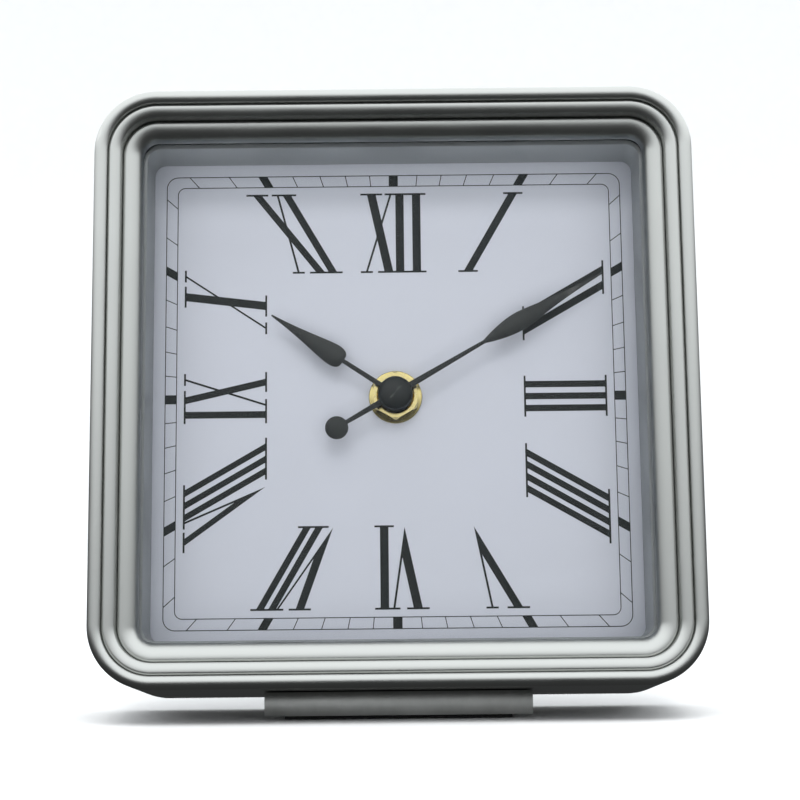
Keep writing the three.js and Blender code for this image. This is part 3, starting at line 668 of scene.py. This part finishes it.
def blade_outline(blade, tail=None):
    """Outline of a hand that points along +y, counter-clockwise from its tip's left side."""
    stem, half, length, hub = blade["stem"], blade["half"], blade["length"], blade["hub"]
    bulge, low, high = blade["swell"]
    shoulder, waist, neck = blade["taper"]
    right = [Vector((stem, blade["start"]))]
    right += bezier((stem, blade["start"]), (bulge, low), (half, high), (half, blade["widest"]), 12)
    right += bezier((half, blade["widest"]), (half, shoulder), (waist, neck), (TIP, length), 22)
    right.append(Vector((0, length + TIP * 0.6)))
    left = [Vector((-p.x, p.y)) for p in reversed(right[:-1])]
    open_angle = math.asin(blade["root"] / hub)
    if tail is None:
        hub_arc = swing(hub, math.pi / 2 + open_angle, 2.5 * math.pi - open_angle, 44)
        return left + hub_arc + right
    tail_open = math.asin(tail["root"] / hub)
    disc_open = math.asin(tail["stem"] / tail["radius"])
    west = swing(hub, math.pi / 2 + open_angle, 1.5 * math.pi - tail_open, 20)
    disc = swing(tail["radius"], math.pi / 2 + disc_open, 2.5 * math.pi - disc_open, 40,
                 -tail["length"])
    east = swing(hub, 1.5 * math.pi + tail_open, 2.5 * math.pi - open_angle, 20)
    return left + west + disc + east + right


def hand(name, kind, back, angle, body, tail=None):
    blade = BLADES[kind]
    loops = [blade_outline(blade, tail), circle(blade["hole"], sides=32, clockwise=True)]
    flat = slab(loops, back, back + HAND_THICKNESS, HAND_EDGE)
    turned_part = moved(flat, Matrix.Rotation(-angle, 4, "Z"))
    piece(name, turned_part, "hands", body, (f"{kind}_hand",))


hand("hour_blade", "hour", HOUR_BACK, HOUR_ANGLE, "hour_shaft")
hand("minute_blade", "minute", MINUTE_BACK, MINUTE_ANGLE, "minute_shaft", TAIL)

CAP_BACK, CAP_FRONT = node_span("hand_cap")[2]
CAP_RADIUS = 4.0
CAP_RIM = 0.5
cap_profile = [(0, CAP_BACK), (CAP_RADIUS - 0.15, CAP_BACK), (CAP_RADIUS, CAP_BACK + 0.15)]
cap_profile += arc_points(0, CAP_BACK + CAP_RIM, CAP_RADIUS, CAP_FRONT - CAP_BACK - CAP_RIM,
                          0, 90, 14)[:-1]
cap_profile.append((0, CAP_FRONT))
piece("domed_cap", turned(cap_profile, 56), "hands", "minute_shaft", ("hand_cap",))

WASHER_RADIUS = 6.35
WASHER_BORE = 4.2
WASHER_BACK = 0.3
washer_profile = [(WASHER_BORE, WASHER_BACK), (WASHER_RADIUS, WASHER_BACK)]
washer_profile += arc_points(WASHER_RADIUS - 0.2, 0.45, 0.2, 0.15, 0, 90, 4)
washer_profile += [(WASHER_RADIUS - 0.55, 0.62), (5.3, 0.78),
                   (WASHER_BORE + 0.15, 0.8), (WASHER_BORE, 0.7)]
piece("dial_washer", turned(washer_profile, 64, closed=True), "brass", "case",
      ("brass_washer",))

NUT = {"radius": 5.9, "back": 1.1, "front": 3.2, "chamfer": 0.5, "bore": 4.2, "sides": 72}


def nut_part():
    """Hexagonal nut whose front corners are turned down to a chamfer."""
    flats = NUT["radius"] * math.cos(math.pi / 6)
    outer = []
    for step in range(NUT["sides"]):
        angle = 2 * math.pi * step / NUT["sides"]
        outer.append((angle, flats / math.cos((angle + math.pi / 6) % (math.pi / 3) - math.pi / 6)))
    rings = []
    for z, limit in ((NUT["back"], math.inf), (NUT["front"] - NUT["chamfer"], math.inf),
                     (NUT["front"] - 0.1, NUT["radius"] - NUT["chamfer"] * 0.8),
                     (NUT["front"], NUT["radius"] - NUT["chamfer"])):
        rings.append([(min(r, limit) * math.cos(a), min(r, limit) * math.sin(a), z)
                      for a, r in outer])
    for radius, z in ((NUT["bore"] + 0.3, NUT["front"]), (NUT["bore"], NUT["front"] - 0.3),
                      (NUT["bore"], NUT["back"])):
        rings.append([(radius * math.cos(a), radius * math.sin(a), z) for a, r in outer])
    return skin(rings, close=True)


piece("hex_nut", nut_part(), "brass", "case", ("fixing_nut",))

# ---------------------------------------------------------------- foot

refined("foot_wedge", "foot", "silver", "case", 0.45)
refined("rubber_pad", "foot_pad", "rubber", "case", 0.25)


def cross_screw(head_radius, head_height, shank_radius, length):
    """Pan-head screw along z with its head to the rear and a cross recess in it."""
    profile = [(0, -head_height)]
    profile += [(head_radius * math.sin(a), -head_height * (0.35 + 0.65 * math.cos(a)))
                for a in (math.radians(8 * step) for step in range(2, 12))]
    profile += [(head_radius, 0), (shank_radius, 0), (shank_radius, length - 1), (0, length)]
    body = turned(profile, 32)
    arm, half = head_radius * 0.62, 0.28
    cross = [(half, half), (half, arm), (-half, arm), (-half, half), (-arm, half), (-arm, -half),
             (-half, -half), (-half, -arm), (half, -arm), (half, -half), (arm, -half), (arm, half)]
    tool = slab([[Vector(p) for p in cross]], -head_height - 1, -head_height * 0.4)
    return drilled(body, tool)


def drilled(part, tool):
    """Part with the tool's volume taken out of it, by an exact boolean."""
    things = []
    for points, faces, flat in (part, tool):
        mesh = bpy.data.meshes.new("drilling")
        mesh.from_pydata([tuple(p) for p in points], [], faces)
        work = bmesh.new()
        work.from_mesh(mesh)
        bmesh.ops.remove_doubles(work, verts=work.verts, dist=1e-5)
        work.to_mesh(mesh)
        work.free()
        thing = bpy.data.objects.new("drilling", mesh)
        bpy.context.scene.collection.objects.link(thing)
        things.append(thing)
    base, cutter = things
    change = base.modifiers.new("recess", "BOOLEAN")
    change.operation = "DIFFERENCE"
    change.solver = "EXACT"
    change.object = cutter
    ready = base.evaluated_get(bpy.context.evaluated_depsgraph_get())
    mesh = bpy.data.meshes.new_from_object(ready)
    points = [v.co.copy() for v in mesh.vertices]
    faces = [tuple(p.vertices) for p in mesh.polygons]
    for thing in things:
        bpy.data.objects.remove(thing)
    return points, faces, [False] * len(faces)


COVER_SCREW = cross_screw(head_radius=2.7, head_height=1.5, shank_radius=1.2, length=9)
for index, screw in enumerate(corners_of(shifted(COVER_SCREW, z=CASE_REAR - 0.3))):
    piece(f"cover_screw_{index + 1}", screw, "steel", "case",
          (f"back_cover_screw_{index + 1}",))

FOOT_SCREW = cross_screw(head_radius=2.6, head_height=1.0, shank_radius=1.2, length=6.6)
for index in (1, 2):
    span = node_span(f"foot_screw_{index}")
    middle_x, middle_z = sum(span[0]) / 2, sum(span[2]) / 2
    upright = moved(FOOT_SCREW, Matrix.Rotation(-math.pi / 2, 4, "X"))
    piece(f"sole_screw_{index}", shifted(upright, middle_x, span[1][0] + 1.0, middle_z), "steel",
          "case", (f"foot_screw_{index}",))

# ---------------------------------------------------------------- back

COVER = {"half": 68.1, "window": 28.6, "window_corner": 3.5, "hole": 1.6,
         "rim": 60.4, "rim_wall": 1.5, "rim_front": -1.1}


def cover_part():
    c = COVER
    holes = [circle(c["hole"], x, y, 24, True) for x, y in SCREW_PLACES]
    window = rounded_square(c["window"], c["window_corner"], 8, True)
    plate = slab([rounded_square(c["half"], c["half"] - CORNER_CENTRE, 16), window, *holes],
                 CASE_REAR, COVER_FRONT, 0.3)
    outer, inner = c["rim"] + c["rim_wall"], c["rim"]
    back, front = COVER_FRONT - 0.5, c["rim_front"]
    wall = swept_ring([(outer, back), (outer, front), (inner, front), (inner, back)], 8)
    return merged(plate, wall)


piece("rear_cover", cover_part(), "cover", "case", ("back_cover",))


RELIEF_EDGE = 0.2
GRIP = {"rows": 9, "first": -36, "pitch": 1.9, "half_length": 22, "radius": 0.45}


def cover_relief():
    """Raised frame round the movement, a border and rows of grip ribs on the rear cover."""
    low = CASE_REAR - 0.5
    high = CASE_REAR + 0.1
    parts = []
    for outer, outer_corner, inner, inner_corner in ((57.5, 6, 56.3, 4.8), (31.2, 5.2, 29.4, 3.9)):
        parts.append(slab([rounded_square(outer, outer_corner),
                           rounded_square(inner, inner_corner, clockwise=True)],
                          low, high, RELIEF_EDGE))
    for row in range(GRIP["rows"]):
        y = GRIP["first"] - GRIP["pitch"] * row
        bar = rounded_bar(GRIP["half_length"], GRIP["radius"], 0, y)
        parts.append(slab([bar], low, high, RELIEF_EDGE))
    return merged(*parts)


def rounded_bar(half_length, radius, x, y, steps=6):
    east = [Vector((x + half_length + radius * math.cos(a), y + radius * math.sin(a)))
            for a in (math.radians(-90 + 180 * i / steps) for i in range(steps + 1))]
    west = [Vector((x - half_length + radius * math.cos(a), y + radius * math.sin(a)))
            for a in (math.radians(90 + 180 * i / steps) for i in range(steps + 1))]
    return east + west


piece("cover_relief", cover_relief(), "cover", "case")

refined("movement_box", "movement_housing", "black", "case", 0.25)
refined("setting_wheel", "setting_knob", "black", "setting_knob", 0.12)
refined("contact_left", "contact_positive", "steel", "case", 0.06)
refined("contact_right", "contact_negative", "steel", "case", 0.06)

KNOB_X = sum(node_span("setting_knob")[0]) / 2
KNOB_Y = sum(node_span("setting_knob")[1]) / 2
HOUSING_REAR = node_span("movement_housing")[2][0]


def curved_arrow(x, y, radius, start, end, width):
    """Arrow bent round a point, counter-clockwise, as a flat outline."""
    steps = 20
    angles = [math.radians(start + (end - start) * i / steps) for i in range(steps + 1)]

    def at(reach, angle):
        return Vector((x + reach * math.cos(angle), y + reach * math.sin(angle)))

    outer = [at(radius + width / 2, a) for a in angles]
    inner = [at(radius - width / 2, a) for a in reversed(angles)]
    head = width * 1.6
    tip = math.radians(end + 12)
    barbs = [at(radius + head, angles[-1]), at(radius, tip), at(radius - head, angles[-1])]
    return outer + barbs + inner


RIB_BARS = {"half_length": 7.5, "radius": 0.4, "x": -14, "rows": (5, 8, 11, 14, 17)}
ARROW = {"radius": 9, "start": 35, "end": 145, "width": 0.7}
LINE_EDGE = 0.12
# Half-size, corner radius and lowest y of the moulded line round the movement, outside then inside.
LINE_LOOPS = ((26.2, 2, -8.5, False), (25.6, 1.5, -7.9, True))


def housing_relief():
    """Mouldings on the housing's rear wall: five ribs, the setting arrow and a frame line."""
    low = HOUSING_REAR - 0.35
    high = HOUSING_REAR + 0.1
    parts = [slab([rounded_bar(RIB_BARS["half_length"], RIB_BARS["radius"], RIB_BARS["x"], y)],
                  low, high, 0.15) for y in RIB_BARS["rows"]]
    arrow = curved_arrow(KNOB_X, KNOB_Y, ARROW["radius"], ARROW["start"], ARROW["end"],
                         ARROW["width"])
    parts.append(slab([arrow], low, high, LINE_EDGE))
    line = [[Vector((p.x, max(p.y, lowest))) for p in rounded_square(half, corner, 6, clockwise)]
            for half, corner, lowest, clockwise in LINE_LOOPS]
    parts.append(slab(dedupe(line), low, high, LINE_EDGE))
    return merged(*parts)


def dedupe(loops):
    """Loops without points that fall on the point before."""
    result = []
    for loop in loops:
        kept = [p for i, p in enumerate(loop) if (p - loop[i - 1]).length > 1e-4]
        result.append(kept)
    return result


piece("housing_relief", housing_relief(), "black", "case")

BATTERY_X, BATTERY_Y, BATTERY_Z = node_span("battery")
CELL_RADIUS = 7.25


def cell_parts():
    """Cell along z, its positive end at the top, as a metal can and a wrap round it."""
    length = BATTERY_X[1] - BATTERY_X[0]
    nub = 1.3
    top = length - nub
    can = [(0, 0), (4.6, 0), (4.8, 0.15), (5.2, 0.15), (6.2, 0)]
    can += [(6.6, 0.1), (6.9, 0.5), (6.9, top - 0.6), (6.6, top - 0.2), (6.3, top - 0.1),
            (4.0, top - 0.1), (3.4, top - 0.3), (2.75, top - 0.2), (2.75, length - 0.35),
            (2.6, length - 0.1), (2.3, length), (0, length)]
    wrap = [(6.2, 0.02), (CELL_RADIUS - 0.3, 0.02), (CELL_RADIUS - 0.08, 0.14),
            (CELL_RADIUS, 0.4), (CELL_RADIUS, 1.0), (CELL_RADIUS, top - 1.0),
            (CELL_RADIUS, top - 0.5), (CELL_RADIUS - 0.1, top - 0.15), (CELL_RADIUS - 0.4, top),
            (5.4, top), (5.4, top - 0.08), (CELL_RADIUS - 0.45, top - 0.1),
            (CELL_RADIUS - 0.3, top - 0.6), (CELL_RADIUS - 0.3, 0.5), (6.2, 0.15)]
    return turned(can, 48), turned(wrap, 64, closed=True)


def lay_down(part):
    turn = Matrix.Rotation(-math.pi / 2, 4, "Y")
    laid = moved(part, turn)
    return shifted(laid, BATTERY_X[1], sum(BATTERY_Y) / 2, sum(BATTERY_Z) / 2)


CAN, WRAP = cell_parts()
piece("cell_can", lay_down(CAN), "steel", "battery", ("battery",))
piece("cell_wrap", lay_down(WRAP), "wrap", "battery")

# ---------------------------------------------------------------- nodes that keep their CAD shape

KEPT = {
    "dial": ("dial_plate",),
    "rubber": ("rubber_washer",),
    "steel": ("foot_nut_1", "foot_nut_2", "rotor", "stator", "coil_core", "quartz_crystal"),
    "black": ("movement_front_plate", "chip"),
    "brass": ("threaded_bush", "minute_pipe"),
    "acetal": ("hour_wheel", "minute_wheel", "centre_wheel", "third_wheel", "seconds_wheel",
               "intermediate_wheel", "middle_plate", "train_plate", "coil_bobbin"),
    "copper": ("coil_winding",),
    "board": ("circuit_board",),
}
for finish, names in KEPT.items():
    for name in names:
        frame["nodes"][name].material_slots[0].material = LOOKS[finish]

# ---------------------------------------------------------------- studio

# Lengths here are metres.
STUDIO = {"floor": 3.0, "bend": 0.8, "rim": 1.6}


def studio_floor():
    """Pale round floor that curves up into a low wall on every side."""
    floor_radius, bend = STUDIO["floor"], STUDIO["bend"]
    profile = [(0, 0), (floor_radius, 0)]
    profile += arc_points(floor_radius, bend, bend, bend, -90, 0, 16)[1:]
    profile.append((floor_radius + bend, STUDIO["rim"]))
    points, faces, _ = turned(profile, 128)
    mesh = bpy.data.meshes.new("studio_floor")
    mesh.from_pydata(points, [], [tuple(reversed(face)) for face in faces])
    mesh.polygons.foreach_set("use_smooth", [True] * len(faces))
    mesh.materials.append(look("pale_floor", (0.86, 0.86, 0.86), 0.75, vary=0.01, grain=300))
    floor = bpy.data.objects.new("studio_floor", mesh)
    bpy.context.scene.collection.objects.link(floor)
    floor.visible_glossy = False


def soft_light(name, place, size, power):
    data = bpy.data.lights.new(name, "AREA")
    data.shape = "RECTANGLE"
    data.size, data.size_y = size
    data.energy = power
    light = bpy.data.objects.new(name, data)
    light.location = place
    light.visible_glossy = False
    aim = CLOCK.translation - Vector(place)
    light.rotation_euler = aim.to_track_quat("-Z", "Y").to_euler()
    bpy.context.scene.collection.objects.link(light)


# The world's strength against the height of the direction it is seen in.
GLOW = {"From Min": 0.10, "From Max": 0.36, "To Min": 0.045, "To Max": 1.5}
GLOW_COLOUR = (0.95, 0.98, 1.0, 1)


def studio_world():
    """Dark low down, and an even pale glow from a little above the horizon to the top."""
    world = bpy.data.worlds.new("studio")
    world.use_nodes = True
    tree = world.node_tree
    direction = node(tree, "ShaderNodeTexCoord").outputs["Generated"]
    height = node(tree, "ShaderNodeSeparateXYZ")
    tree.links.new(direction, height.inputs[0])
    glow = node(tree, "ShaderNodeMapRange", interpolation_type="SMOOTHSTEP")
    for key, value in GLOW.items():
        glow.inputs[key].default_value = value
    tree.links.new(height.outputs["Z"], glow.inputs["Value"])
    background = tree.nodes["Background"]
    background.inputs["Color"].default_value = GLOW_COLOUR
    tree.links.new(glow.outputs["Result"], background.inputs["Strength"])
    bpy.context.scene.world = world

studio_floor()
soft_light("overhead", place=(0, -0.7, 1.1), size=(0.9, 0.7), power=9.5)
studio_world()
bpy.context.scene.view_settings.view_transform = "Standard"
